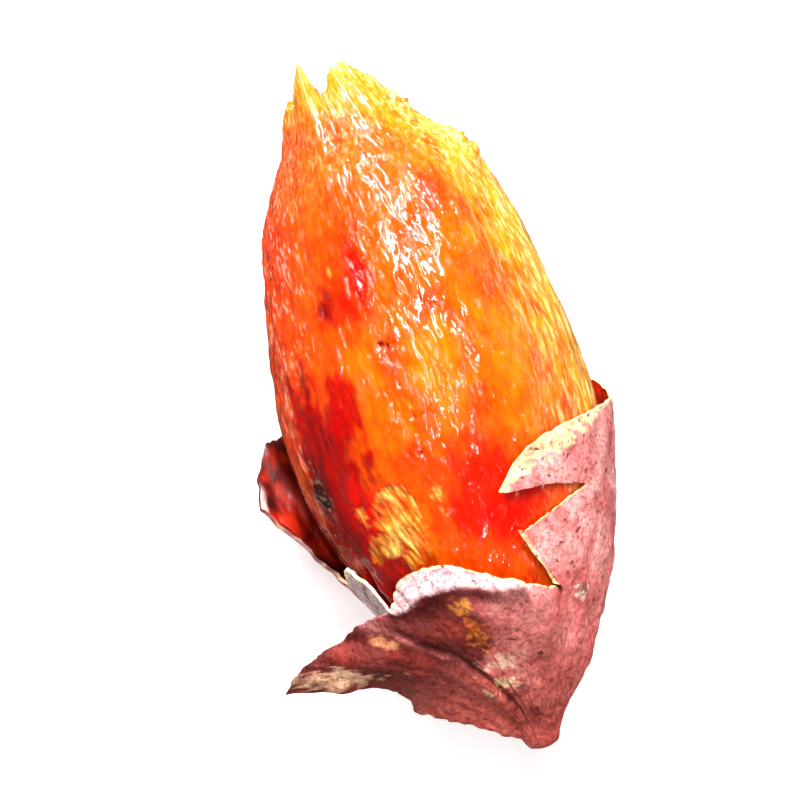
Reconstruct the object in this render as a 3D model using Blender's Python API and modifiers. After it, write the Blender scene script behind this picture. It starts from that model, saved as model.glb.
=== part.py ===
"""A roasted sweet potato, peeled from its top end, with the torn skin left as a loose cup round the tail.

It lies on its back: +Y runs from the tail to the peeled end, +Z is up, and the origin is on the
resting spot. An empty at the tail, on the flesh's middle line, carries the pieces, and their meshes
are measured from it. An angle round the flesh is 0 at the front, which faces up, 90 at the right
(+X), 180 at the back and 270 at the left. A height is measured from the tail, along +Y.
"""

import bisect
import math

import bmesh
import bpy
from mathutils import Vector

MM = 0.001

# The flesh
FLESH_LENGTH = 150 * MM  # from the tail to the torn end, without its tips
FLESH_WIDTH = 68 * MM
FLESH_DEPTH = 60 * MM
AXIS_HEIGHT = 28.8 * MM  # of the flesh's middle line above the surface it rests on
TAIL_TO_REST = 76.5 * MM  # height of the middle of the resting spot
LUMP = 0.5 * MM  # how far the flesh swells and sinks
LUMPS_ROUND = 3  # lumps once round the flesh
LUMP_DRIFT = 16 * MM  # length over which the lumps move round by a radian
LUMP_FADE = 20 * MM  # half width below which the lumps get smaller
DISH_DEPTH = 5 * MM  # the hollow inside the torn end
DISH_REACH = 0.5  # share of the way in over which the hollow gets deeper
TIP_WALL = 2.2 * MM  # thickness of the torn tips at their feet
TIP_REACH = 0.1  # share of the rings, from the torn end down, that the tips stretch
RING_CROWDING = 0.5  # how much closer the flesh's rings lie at both ends, from 0 to 1

# The skin
SKIN_THICKNESS = 0.9 * MM
SKIN_GAP = 0.6 * MM  # between the flesh and the inside of the skin where it still hugs the flesh
REST_GAP = 1.1 * MM  # between the two over the resting spot, where both are flattened
TAIL_CAP = 0.6 * MM  # how far the skin reaches past the tail
TAIL_CAP_POWER = 4  # how soon that fades on the way up
BACK_COVER = 92 * MM  # height up to which the skin lies between the flesh and the resting surface
COVER_FADE = 6 * MM  # length over which the flesh comes down to the surface above that
TAIL_STEP = 4 * MM  # how evenly the skin's rings start off from the tail, whatever the height of their strip
RING_POWER = 1.7  # how much wider apart the skin's rings lie towards the rim
LATEST_LEAVE = 0.6  # share of its height at which a strip leaves the flesh at the latest
BOW_POWER = 1.4  # how late a strip bows out from the flesh after that
FOLD_PLACE = 0.78  # share of the way to the rim at which the front fold stands out most
FOLD_REACH = 0.34  # share of the way over which it rises and falls

# Mesh density
FLESH_COLUMNS = 48
FLESH_RINGS = 40
END_RINGS = 5  # of the flesh's rings, those inside the torn end
SKIN_COLUMNS_PER_POINT = 2
SKIN_RINGS = 17

# Outline of the flesh from the front: share of its length, then shares of its half width to each side
FLESH_OUTLINE = [
    (0.000, 0.000, 0.000),
    (0.004, -0.060, 0.060),
    (0.022, -0.098, 0.098),
    (0.047, -0.150, 0.180),
    (0.095, -0.330, 0.400),
    (0.145, -0.480, 0.540),
    (0.225, -0.670, 0.750),
    (0.335, -0.860, 0.905),
    (0.445, -0.960, 1.000),
    (0.560, -0.968, 1.020),
    (0.645, -0.900, 0.992),
    (0.732, -0.820, 0.953),
    (0.812, -0.727, 0.865),
    (0.850, -0.672, 0.806),
    (0.893, -0.562, 0.700),
    (0.923, -0.466, 0.570),
    (0.953, -0.388, 0.440),
    (0.978, -0.342, 0.345),
    (1.000, -0.300, 0.275),
]

# The torn tips round the peeled end: the angles of their left foot, point and right foot, then their height
TORN_TIPS = [
    (-54, -24, -9, 9.2 * MM),
    (-8, 31, 78, 6.6 * MM),
    (4, 15, 22, 2.4 * MM),
    (70, 96, 126, 2.5 * MM),
    (130, 158, 186, 3.0 * MM),
    (206, 236, 262, 2.2 * MM),
]

# The skin's torn rim, flap by flap, once round the flesh, with its lengths in millimetres. Each flap says
# the height at which it leaves the flesh, how late its strips turn sideways, and how far its fold stands
# out. Each point of its rim says the angle at which its strip of skin starts at the tail, the angle and
# height at which the strip ends, and how far it stands off the flesh there.
SKIN_FLAPS = {
    "middle_flap": (22, 6.3, 0.0, [(31, 29, 33.0, 0.6), (42, 20, 40.0, 1.6), (52, 15, 46.3, 2.2)]),
    "upper_flap": (
        34,
        3.5,
        0.0,
        [
            (61, 12, 56.7, 1.2),
            (67, 27, 62.2, 1.0),
            (74, 48, 65.7, 1.0),
            (83, 70, 67.2, 1.4),
            (93, 90, 68.4, 3.0),
        ],
    ),
    "back": (
        40,
        2.1,
        0.0,
        [
            (106, 106, 72.0, 3.0),
            (125, 125, 79.0, 1.4),
            (150, 150, 86.0, 0.5),
            (175, 175, 90.0, 0.2),
            (200, 200, 85.0, 0.4),
        ],
    ),
    "left_flap": (
        34,
        2.1,
        0.0,
        [
            (219, 221, 87.0, 1.6),
            (230, 240, 83.0, 4.0),
            (236, 254, 81.5, 6.0),
            (241, 257, 75.0, 10.5),
            (245, 261, 67.0, 9.5),
            (249, 264, 58.5, 6.0),
            (253, 267, 51.0, 3.0),
        ],
    ),
    "left_strip": (
        26,
        3.5,
        0.0,
        [
            (257, 272, 46.0, 0.9),
            (260, 279, 49.0, 0.5),
            (264, 284, 42.0, 0.2),
            (268, 279, 30.0, 0.5),
            (272, 274, 20.0, 1.2),
        ],
    ),
    "slit": (4.5, 2.8, 0.0, [(278, 278, 13.6, 1.5), (285, 284, 10.2, 2.2)]),
    "long_flap": (
        4.5,
        2.8,
        0.0,
        [
            (296, 269, 16.0, 13.0),
            (301, 271, 19.6, 12.0),
            (306, 273, 23.0, 13.0),
            (311, 276, 26.0, 20.0),
            (316, 278, 28.6, 30.5),
            (321, 283, 32.2, 25.5),
            (326, 288, 34.6, 20.5),
            (332, 295, 36.8, 13.5),
        ],
    ),
    "front_fold": (
        12,
        2.1,
        4.6,
        [
            (338, 305, 39.2, 6.0),
            (343, 316, 40.0, 2.6),
            (347, 321, 43.5, 1.0),
            (350, 331, 46.3, 0.8),
            (354, 342, 46.0, 0.8),
            (362, 357, 40.8, 0.8),
            (376, 374, 35.6, 0.8),
        ],
    ),
}

# The sideways tear between the middle and upper flaps: angle and height of the cut's corners
SIDE_TEAR = [
    (8, 45.2 * MM),
    (36, 49.4 * MM),
    (60, 51.9 * MM),
    (34, 55.2 * MM),
    (10, 56.3 * MM),
    (-6, 57.5 * MM),
]

FLESH_COLOUR = (0.86, 0.20, 0.02, 1.0)
SKIN_COLOUR = (0.42, 0.14, 0.15, 1.0)


def clear_scene():
    for thing in list(bpy.data.objects):
        bpy.data.objects.remove(thing)


def ease(share):
    """0 up to a share of 0, 1 from a share of 1, and smooth in between."""
    share = min(max(share, 0.0), 1.0)
    return share * share * (3 - 2 * share)


def smooth_through(stations, place):
    """Values at a place, on the smooth curve through stations of (place, value, value...)."""
    last = len(stations) - 1
    i = min(max(bisect.bisect_right([s[0] for s in stations], place) - 1, 0), last - 1)
    start, end = stations[i], stations[i + 1]
    before, after = stations[max(i - 1, 0)], stations[min(i + 2, last)]
    span = end[0] - start[0]
    t = (place - start[0]) / span
    values = []
    for a, b, earlier, later in zip(start[1:], end[1:], before[1:], after[1:]):
        slope_a = (b - earlier) / (end[0] - before[0]) * span
        slope_b = (later - a) / (after[0] - start[0]) * span
        bend_a = (2 * t**3 - 3 * t**2 + 1) * a + (t**3 - 2 * t**2 + t) * slope_a
        bend_b = (3 * t**2 - 2 * t**3) * b + (t**3 - t**2) * slope_b
        values.append(bend_a + bend_b)
    return values


def flesh_section(height):
    """Sideways place of the middle line and half the width of the flesh at a height."""
    share = min(max(height / FLESH_LENGTH, 0.0), 1.0)
    left, right = (FLESH_WIDTH / 2 * side for side in smooth_through(FLESH_OUTLINE, share))
    return (left + right) / 2, (right - left) / 2


def flesh_point(angle, height, stand_off=0.0):
    """A point on the flesh, or off it by stand_off, before the flesh settles on the surface."""
    middle, half_width = flesh_section(height)
    turn = math.radians(angle)
    swell = LUMP * math.sin(LUMPS_ROUND * turn + height / LUMP_DRIFT) * ease(half_width / LUMP_FADE)
    reach = half_width + swell + stand_off
    rise = (half_width + swell) * FLESH_DEPTH / FLESH_WIDTH + stand_off
    return Vector((middle + reach * math.sin(turn), height, rise * math.cos(turn)))


def settle(point, lowest):
    """Keeps a point at least so far above the resting surface, which flattens the resting spot."""
    return Vector((point.x, point.y, max(point.z, lowest - AXIS_HEIGHT)))


def tip_height(angle):
    """How far the torn tips stand above the end of the flesh at an angle."""
    rise = 0.0
    for left, point, right, height in TORN_TIPS:
        past = (angle - point + 180) % 360 - 180
        foot = left - point if past < 0 else right - point
        rise += height * max(0.0, 1 - past / foot)
    return rise


def flesh_vertex(angle, ring):
    """A vertex of the flesh, for a ring counted from the tail."""
    rim_ring = FLESH_RINGS - END_RINGS
    if ring <= rim_ring:
        share = ring / rim_ring
        crowded = share - RING_CROWDING * math.sin(2 * math.pi * share) / (2 * math.pi)
        height = FLESH_LENGTH * crowded
        point = flesh_point(angle, height)
        point.y += tip_height(angle) * ease((share - 1) / TIP_REACH + 1)
        under = SKIN_THICKNESS + REST_GAP
        return settle(point, under * ease((BACK_COVER - height) / COVER_FADE + 1))
    inward = (ring - rim_ring) / END_RINGS
    rim = flesh_point(angle, FLESH_LENGTH)
    middle = Vector((flesh_section(FLESH_LENGTH)[0], rim.y, 0))
    first_step = 1 - TIP_WALL / (rim - middle).length
    point = middle + (rim - middle) * first_step * (END_RINGS - ring + rim_ring) / (END_RINGS - 1)
    point.y -= DISH_DEPTH * ease(inward / DISH_REACH)
    return point


def build_flesh():
    """One closed body from the tail to the dished end, shaped from a sphere's rings and columns."""
    shape = bmesh.new()
    bmesh.ops.create_uvsphere(shape, u_segments=FLESH_COLUMNS, v_segments=FLESH_RINGS, radius=1)
    for vert in shape.verts:
        angle = math.degrees(math.atan2(vert.co.x, -vert.co.y))
        ring = FLESH_RINGS * (1 - math.acos(min(max(vert.co.z, -1), 1)) / math.pi)
        vert.co = flesh_vertex(angle, round(ring))
    return shape


def skin_rim():
    """Every point of the torn rim, with its flap's leaving height, turn and fold, once round the flesh."""
    rim = []
    for leave, turn, fold, points in SKIN_FLAPS.values():
        for start, end, height, stand_off in points:
            rim.append((start, end, height * MM, stand_off * MM, leave * MM, turn, fold * MM))
    first = rim[0]
    return [*rim, (first[0] + 360, first[1] + 360, *first[2:])]


def skin_vertex(rim, column, share):
    """A vertex on the inside of the skin, at a share of the way from the tail to the rim."""
    i = column // SKIN_COLUMNS_PER_POINT
    t = column % SKIN_COLUMNS_PER_POINT / SKIN_COLUMNS_PER_POINT
    start, end, height, stand_off, leave, turn, fold = (a + (b - a) * t for a, b in zip(rim[i], rim[i + 1]))
    here = TAIL_STEP * share + (height - TAIL_STEP) * share**RING_POWER
    angle = start + (end - start) * (here / height) ** turn
    leave = min(leave, height * LATEST_LEAVE)
    lift = stand_off * max(0.0, (here - leave) / (height - leave)) ** BOW_POWER
    lift += fold * ease(1 - abs(share - FOLD_PLACE) / FOLD_REACH)
    point = flesh_point(angle, here, SKIN_GAP + lift)
    point.y -= TAIL_CAP * (1 - share) ** TAIL_CAP_POWER
    return settle(point, SKIN_THICKNESS)


def build_skin():
    """The inside surface of the skin, open at its torn rim, shaped from a sphere without its top."""
    rim = skin_rim()
    columns = SKIN_COLUMNS_PER_POINT * (len(rim) - 1)
    shape = bmesh.new()
    bmesh.ops.create_uvsphere(shape, u_segments=columns, v_segments=SKIN_RINGS + 1, radius=1)
    top = max(shape.verts, key=lambda vert: vert.co.z)
    bmesh.ops.delete(shape, geom=[top], context="VERTS")
    for vert in shape.verts:
        column = round(math.atan2(vert.co.x, -vert.co.y) / (2 * math.pi) * columns) % columns
        ring = round((SKIN_RINGS + 1) * (1 - math.acos(min(max(vert.co.z, -1), 1)) / math.pi))
        if ring:
            vert.co = skin_vertex(rim, column, ring / SKIN_RINGS)
        else:
            vert.co = Vector((flesh_section(0)[0], -TAIL_CAP, 0))
    return shape


def build_tear():
    """The wedge that the sideways tear takes out of the skin's front."""
    shape = bmesh.new()
    corners = [flesh_point(angle, height) for angle, height in SIDE_TEAR]
    base = [shape.verts.new((corner.x, corner.y, 0)) for corner in corners]
    face = shape.faces.new(base)
    grown = bmesh.ops.extrude_face_region(shape, geom=[face])
    for item in grown["geom"]:
        if isinstance(item, bmesh.types.BMVert):
            item.co.z += FLESH_DEPTH
    bmesh.ops.recalc_face_normals(shape, faces=shape.faces)
    return shape


def make_material(name, colour, roughness):
    material = bpy.data.materials.new(name)
    material.use_nodes = True
    surface = material.node_tree.nodes["Principled BSDF"]
    surface.inputs["Base Color"].default_value = colour
    surface.inputs["Roughness"].default_value = roughness
    surface.inputs["Metallic"].default_value = 0.0
    return material


def make_tail_empty(collection):
    tail = bpy.data.objects.new("tail", None)
    tail.location = (0, -TAIL_TO_REST, AXIS_HEIGHT)
    tail.empty_display_size = 10 * MM
    collection.objects.link(tail)
    return tail


def make_object(name, shape, collection, tail, material=None):
    """An object on the tail's empty, from a shape that is measured from there."""
    mesh = bpy.data.meshes.new(name)
    shape.to_mesh(mesh)
    shape.free()
    if material:
        mesh.materials.append(material)
        mesh.shade_smooth()
    thing = bpy.data.objects.new(name, mesh)
    thing.parent = tail
    collection.objects.link(thing)
    return thing


def make_collection(name):
    collection = bpy.data.collections.new(name)
    bpy.context.scene.collection.children.link(collection)
    return collection


def main():
    clear_scene()
    parts = make_collection("sweet_potato")
    cutters = make_collection("cutters")

    tail = make_tail_empty(parts)
    make_object("flesh", build_flesh(), parts, tail, make_material("wet_flesh", FLESH_COLOUR, 0.25))
    skin = make_object("skin", build_skin(), parts, tail, make_material("dry_skin", SKIN_COLOUR, 0.7))
    wall = skin.modifiers.new("wall", "SOLIDIFY")
    wall.thickness = SKIN_THICKNESS
    wall.offset = 1

    tear = make_object("side_tear", build_tear(), cutters, tail)
    tear.display_type = "WIRE"
    tear.hide_render = True
    cut = skin.modifiers.new("side_tear", "BOOLEAN")
    cut.object = tear
    cut.operation = "DIFFERENCE"


main()
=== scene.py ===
import math

import bpy
import numpy as np
from mathutils import Matrix, Vector, noise


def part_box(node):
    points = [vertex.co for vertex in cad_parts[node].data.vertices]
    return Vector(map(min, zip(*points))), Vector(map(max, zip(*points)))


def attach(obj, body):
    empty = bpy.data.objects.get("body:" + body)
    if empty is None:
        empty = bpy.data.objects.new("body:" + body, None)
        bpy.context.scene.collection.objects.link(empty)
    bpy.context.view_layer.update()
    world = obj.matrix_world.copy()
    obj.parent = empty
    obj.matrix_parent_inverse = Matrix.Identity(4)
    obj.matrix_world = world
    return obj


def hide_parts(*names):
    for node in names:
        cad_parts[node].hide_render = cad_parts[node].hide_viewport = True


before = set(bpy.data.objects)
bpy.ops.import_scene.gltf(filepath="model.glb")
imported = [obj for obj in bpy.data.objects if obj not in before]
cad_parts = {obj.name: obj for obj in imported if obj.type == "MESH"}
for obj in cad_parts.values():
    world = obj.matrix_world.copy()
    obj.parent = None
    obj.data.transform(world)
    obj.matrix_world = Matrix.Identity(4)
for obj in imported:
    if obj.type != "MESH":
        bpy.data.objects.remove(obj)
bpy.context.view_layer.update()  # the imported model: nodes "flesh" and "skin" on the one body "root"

mm = 0.001
axisAngle = math.radians(18.4)  # how far the root leans from upright in the camera's view

# the root itself: angles round it are 0 at the front (+Z) and 90 at the right (+X), and heights run from its
# tail along +Y
root = {
    "length": 150 * mm,  # tail to torn end, without the tips
    "width": 68 * mm,
    "depth": 60 * mm,
    "axisHeight": 28.8 * mm,
    "tailY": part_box("flesh")[0][1],
    "swell": 0.5 * mm,  # three soft sides that turn round it
    "swellPitch": 16 * mm,
    # share of the length, then shares of the half width on the left and on the right
    "outline": np.array([
        (0.000, 0.000, 0.000),
        (0.004, -0.060, 0.060),
        (0.022, -0.098, 0.098),
        (0.047, -0.150, 0.180),
        (0.095, -0.330, 0.400),
        (0.145, -0.480, 0.540),
        (0.225, -0.670, 0.750),
        (0.335, -0.860, 0.905),
        (0.445, -0.960, 1.000),
        (0.560, -0.968, 1.020),
        (0.645, -0.900, 0.992),
        (0.732, -0.820, 0.953),
        (0.812, -0.727, 0.865),
        (0.850, -0.672, 0.806),
        (0.893, -0.562, 0.700),
        (0.923, -0.466, 0.570),
        (0.953, -0.388, 0.440),
        (0.978, -0.342, 0.345),
        (1.000, -0.300, 0.275),
    ]),
}


def ease(share):
    share = np.clip(share, 0, 1)
    return share * share * (3 - 2 * share)


# values at some places on the smooth curve through stations
def smoothThrough(places, values, at):
    last = len(places) - 1
    before = np.maximum(np.arange(last + 1) - 1, 0)
    after = np.minimum(np.arange(last + 1) + 1, last)
    slopes = (values[after] - values[before]) / (places[after] - places[before])[:, None]
    i = np.clip(np.searchsorted(places, at, side="right") - 1, 0, last - 1)
    span = (places[i + 1] - places[i])[:, None]
    t = (at - places[i])[:, None] / span
    return (
        (2 * t**3 - 3 * t**2 + 1) * values[i]
        + (t**3 - 2 * t**2 + t) * span * slopes[i]
        + (3 * t**2 - 2 * t**3) * values[i + 1]
        + (t**3 - t**2) * span * slopes[i + 1]
    )


# soft noise from about -1 to 1 at each point, in lumps of a size that may differ along x, y and z
def noiseAt(points, size, seed, detail=3):
    scaled = (points / np.array(size) + np.array((17.1, 9.3, 4.7)) * seed).tolist()
    return np.array([noise.fractal(p, 1.0, 2.0, detail) for p in scaled])


# thin creases: 1 along winding lines and 0 between them
def creasesAt(points, size, seed, sharpness=5.0):
    return np.clip(1 - np.abs(noiseAt(points, size, seed, 2)) * sharpness, 0, 1)


# noise relief from a pair: its height and the size of its lumps
def lumpsAt(points, layer, seed):
    depth, size = layer
    return depth * noiseAt(points, size, seed)


def rootSection(height):
    outline = root["outline"]
    share = np.clip(height / root["length"], 0, 1)
    sides = smoothThrough(outline[:, 0], outline[:, 1:] * root["width"] / 2, share)
    return (sides[:, 0] + sides[:, 1]) / 2, (sides[:, 1] - sides[:, 0]) / 2


# points on the root's own surface, or off it by standOff; angles are in radians
def rootPoint(angle, height, standOff=0.0):
    middle, halfWidth = rootSection(height)
    swell = root["swell"] * np.sin(3 * angle + height / root["swellPitch"]) * ease(halfWidth / (20 * mm))
    reach = halfWidth + swell + standOff
    rise = (halfWidth + swell) * root["depth"] / root["width"] + standOff
    x = middle + reach * np.sin(angle)
    z = root["axisHeight"] + rise * np.cos(angle)
    return np.stack([x, root["tailY"] + height, z], axis=1)


# how near each surface place is to a spot, 1 at its middle and 0 outside; lengths are measured on the surface
def nearSpot(angle, height, spot, wobble):
    middle, halfWidth = rootSection(height)
    across = (angle - math.radians(spot["angle"]) + math.pi) % (2 * math.pi) - math.pi
    across = across * halfWidth / (spot["across"] * mm)
    along = (height - spot["height"] * mm) / (spot["along"] * mm)
    lean = spot.get("lean", 0.0)
    far = np.sqrt((across + lean * along) ** 2 + along**2) + wobble * spot.get("ragged", 0.5)
    return ease((1 - far) / spot.get("soft", 0.6))


def readCoords(mesh):
    flat = np.empty(len(mesh.vertices) * 3)
    mesh.vertices.foreach_get("co", flat)
    return flat.reshape(-1, 3)


def readNormals(mesh):
    flat = np.empty(len(mesh.vertices) * 3)
    mesh.vertex_normals.foreach_get("vector", flat)
    return flat.reshape(-1, 3)


def writeCoords(mesh, points):
    mesh.vertices.foreach_set("co", points.reshape(-1))
    mesh.update()


def writeColours(mesh, name, colours):
    attribute = mesh.color_attributes.new(name, "FLOAT_COLOR", "POINT")
    flat = np.ones((len(mesh.vertices), 4))
    flat[:, :3] = np.clip(colours, 0, 1)
    attribute.data.foreach_set("color", flat.reshape(-1))


def writeValues(mesh, name, values):
    attribute = mesh.attributes.new(name, "FLOAT", "POINT")
    attribute.data.foreach_set("value", np.asarray(values, dtype=float))


def deselectAll():
    if bpy.context.object and bpy.context.object.mode != "OBJECT":
        bpy.ops.object.mode_set(mode="OBJECT")
    bpy.ops.object.select_all(action="DESELECT")


# deletes the chosen vertices ("VERT") or faces ("FACE")
def deleteParts(mesh, kind, chosen):
    bpy.ops.object.mode_set(mode="EDIT")
    bpy.ops.mesh.select_mode(type=kind)
    bpy.ops.mesh.select_all(action="DESELECT")
    bpy.ops.object.mode_set(mode="OBJECT")
    parts = mesh.vertices if kind == "VERT" else mesh.polygons
    parts.foreach_set("select", chosen)
    bpy.ops.object.mode_set(mode="EDIT")
    bpy.ops.mesh.delete(type=kind)
    bpy.ops.object.mode_set(mode="OBJECT")


# a sphere's rings and columns to start from, with each vertex's angle round it and ring from the tail
def startFromSphere(name, columns, rings):
    deselectAll()
    bpy.ops.mesh.primitive_uv_sphere_add(segments=columns, ring_count=rings, radius=1)
    piece = bpy.context.object
    piece.name = name
    piece.data.name = name
    ball = readCoords(piece.data)
    turn = np.arctan2(ball[:, 0], -ball[:, 1])
    column = np.round(turn / (2 * math.pi) * columns).astype(int) % columns
    ring = np.round(rings * (1 - np.arccos(np.clip(ball[:, 2], -1, 1)) / math.pi)).astype(int)
    return piece, column, ring


def finishPiece(piece, material, replacedNode=None):
    if material:
        piece.data.materials.append(material)
    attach(piece, "root")
    if replacedNode:
        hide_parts(replacedNode)
    piece.select_set(False)


# linear colour from the usual 0-255 values
def tone(red, green, blue):
    channels = np.array([red, green, blue]) / 255
    return np.where(channels < 0.04045, channels / 12.92, ((channels + 0.055) / 1.055) ** 2.4)


# lays a colour over others, as strongly as each share says
def layOver(colours, colour, share):
    return colours + (np.asarray(colour) - colours) * np.clip(share, 0, 1)[:, None]


# lays named colours over others in this order
def layNamed(colours, palette, shares):
    for name, share in shares.items():
        colours = layOver(colours, tone(*palette[name]), share)
    return colours


def startMaterial(name):
    material = bpy.data.materials.new(name)
    material.use_nodes = True
    tree = material.node_tree
    surface = tree.nodes["Principled BSDF"]
    return material, tree, surface


def addNode(tree, kind, **settings):
    node = tree.nodes.new(kind)
    for key, value in settings.items():
        setattr(node, key, value)
    return node


def setInputs(node, **values):
    for key, value in values.items():
        node.inputs[key.replace("_", " ")].default_value = value


# object coordinates, stretched so that a pattern runs long in y
def stretchedPlace(tree, stretch):
    place = addNode(tree, "ShaderNodeTexCoord")
    mapping = addNode(tree, "ShaderNodeMapping")
    mapping.inputs["Scale"].default_value = stretch
    tree.links.new(place.outputs["Object"], mapping.inputs["Vector"])
    return mapping.outputs["Vector"]


def noiseNode(tree, place, scale, detail=4.0, roughness=0.55, distortion=0.0):
    node = addNode(tree, "ShaderNodeTexNoise")
    setInputs(node, Scale=scale, Detail=detail, Roughness=roughness, Distortion=distortion)
    tree.links.new(place, node.inputs["Vector"])
    return node.outputs["Fac"]


def rampNode(tree, source, stops):
    node = addNode(tree, "ShaderNodeValToRGB")
    ramp = node.color_ramp
    while len(ramp.elements) < len(stops):
        ramp.elements.new(0.5)
    for element, (place, colour) in zip(ramp.elements, stops):
        element.position = place
        element.color = (*colour, 1.0)
    tree.links.new(source, node.inputs["Fac"])
    return node.outputs["Color"]


def mixNode(tree, blend, share, first, second):
    node = addNode(tree, "ShaderNodeMix", data_type="RGBA", blend_type=blend)
    if isinstance(share, float):
        node.inputs["Factor"].default_value = share
    else:
        tree.links.new(share, node.inputs["Factor"])
    for socket, source in ((6, first), (7, second)):
        if isinstance(source, tuple):
            node.inputs[socket].default_value = (*source, 1.0)
        else:
            tree.links.new(source, node.inputs[socket])
    return node.outputs[2]


def rangeNode(tree, source, low, high, newLow, newHigh):
    node = addNode(tree, "ShaderNodeMapRange")
    for key, value in (("From Min", low), ("From Max", high), ("To Min", newLow), ("To Max", newHigh)):
        node.inputs[key].default_value = value
    tree.links.new(source, node.inputs["Value"])
    return node.outputs["Result"]


# multiplies a colour by a pattern: by one tint where it is low, by another where it is high, by 1 between
def tintBy(tree, colour, share, pattern, places, low, high):
    stops = zip(places, (low, (1.0, 1.0, 1.0), high))
    return mixNode(tree, "MULTIPLY", share, colour, rampNode(tree, pattern, list(stops)))


# bumps laid over one another: each is a height source, its depth in metres and its strength
def bumpChain(tree, surface, layers, socket="Normal"):
    under = None
    for source, depth, strength in layers:
        node = addNode(tree, "ShaderNodeBump")
        node.inputs["Distance"].default_value = depth
        node.inputs["Strength"].default_value = strength
        tree.links.new(source, node.inputs["Height"])
        if under:
            tree.links.new(under, node.inputs["Normal"])
        under = node.outputs["Normal"]
    tree.links.new(under, surface.inputs[socket])
    return under


def colourFrom(tree, name):
    node = addNode(tree, "ShaderNodeAttribute", attribute_name=name)
    return node.outputs["Color"]


def valueFrom(tree, name):
    node = addNode(tree, "ShaderNodeAttribute", attribute_name=name)
    return node.outputs["Fac"]


# flat facets tilted at random, as in a crumpled film; their height is in metres
def crumpledHeight(tree, stretch, cellsPerMetre, slope):
    place = stretchedPlace(tree, stretch)
    cells = addNode(tree, "ShaderNodeTexVoronoi")
    setInputs(cells, Scale=cellsPerMetre, Randomness=1.0)
    tree.links.new(place, cells.inputs["Vector"])
    offset = addNode(tree, "ShaderNodeVectorMath", operation="SUBTRACT")
    tree.links.new(place, offset.inputs[0])
    tree.links.new(cells.outputs["Position"], offset.inputs[1])
    tilt = addNode(tree, "ShaderNodeVectorMath", operation="SUBTRACT")
    tree.links.new(cells.outputs["Color"], tilt.inputs[0])
    tilt.inputs[1].default_value = (0.5, 0.5, 0.5)
    height = addNode(tree, "ShaderNodeVectorMath", operation="DOT_PRODUCT")
    tree.links.new(offset.outputs["Vector"], height.inputs[0])
    tree.links.new(tilt.outputs["Vector"], height.inputs[1])
    scaled = addNode(tree, "ShaderNodeMath", operation="MULTIPLY")
    tree.links.new(height.outputs["Value"], scaled.inputs[0])
    scaled.inputs[1].default_value = slope
    return scaled.outputs["Value"]


# wet, syrupy flesh under a fine wrinkled film
def makeWetFlesh():
    material, tree, surface = startMaterial("wetFlesh")
    plain = stretchedPlace(tree, (1.0, 1.0, 1.0))
    fibres = noiseNode(tree, stretchedPlace(tree, (1.0, 0.2, 1.0)), 900.0, 5.0, 0.6, 0.4)
    mottle = noiseNode(tree, plain, 260.0, 4.0, 0.6, 0.3)
    flecks = noiseNode(tree, stretchedPlace(tree, (1.0, 0.22, 1.0)), 1000.0, 5.0, 0.6, 0.3)
    crinkle = noiseNode(tree, stretchedPlace(tree, (1.0, 0.45, 1.0)), 1500.0, 3.0, 0.6, 0.3)
    painted = colourFrom(tree, "fleshColour")
    toned = tintBy(tree, painted, 0.6, fibres, (0.34, 0.54, 0.74), (0.8, 0.6, 0.4), (1.0, 1.08, 1.0))
    toned = tintBy(tree, toned, 0.6, mottle, (0.36, 0.55, 0.72), (0.85, 0.6, 0.5), (1.0, 1.2, 1.0))
    # pale flecks: partly cream fibre, partly painted highlights for the glints of the wet film
    fleckShare = rampNode(tree, flecks, [(0.46, (0.0, 0.0, 0.0)), (0.72, (0.75, 0.75, 0.75))])
    fleckGlintShare = mixNode(tree, "MULTIPLY", 1.0, fleckShare, valueFrom(tree, "paleFleckGlints"))
    toned = mixNode(tree, "MIX", fleckGlintShare, toned, (1.0, 0.78, 0.30))
    tree.links.new(toned, surface.inputs["Base Color"])
    roughness = rangeNode(tree, valueFrom(tree, "fleshDry"), 0.0, 1.0, 0.22, 0.5)
    tree.links.new(roughness, surface.inputs["Roughness"])
    setInputs(surface, Subsurface_Weight=0.2, Subsurface_Scale=0.002, Coat_Weight=0.85, Coat_Roughness=0.035)
    setInputs(surface, Specular_IOR_Level=0.12, Coat_IOR=1.4)
    surface.inputs["Subsurface Radius"].default_value = (1.0, 0.3, 0.05)
    large = crumpledHeight(tree, (1.0, 0.45, 1.0), 420.0, 0.4)
    small = crumpledHeight(tree, (1.0, 0.5, 1.0), 1000.0, 0.45)
    bumpChain(tree, surface, [(large, 1.0, 0.8), (small, 1.0, 0.8), (crinkle, 0.12 * mm, 0.5)])
    coatLarge = crumpledHeight(tree, (1.0, 0.42, 1.0), 270.0, 0.3)
    coatSmall = crumpledHeight(tree, (1.0, 0.5, 1.0), 800.0, 0.14)
    bumpChain(tree, surface, [(coatLarge, 1.0, 0.8), (coatSmall, 1.0, 0.8)], "Coat Normal")
    return material


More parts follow.
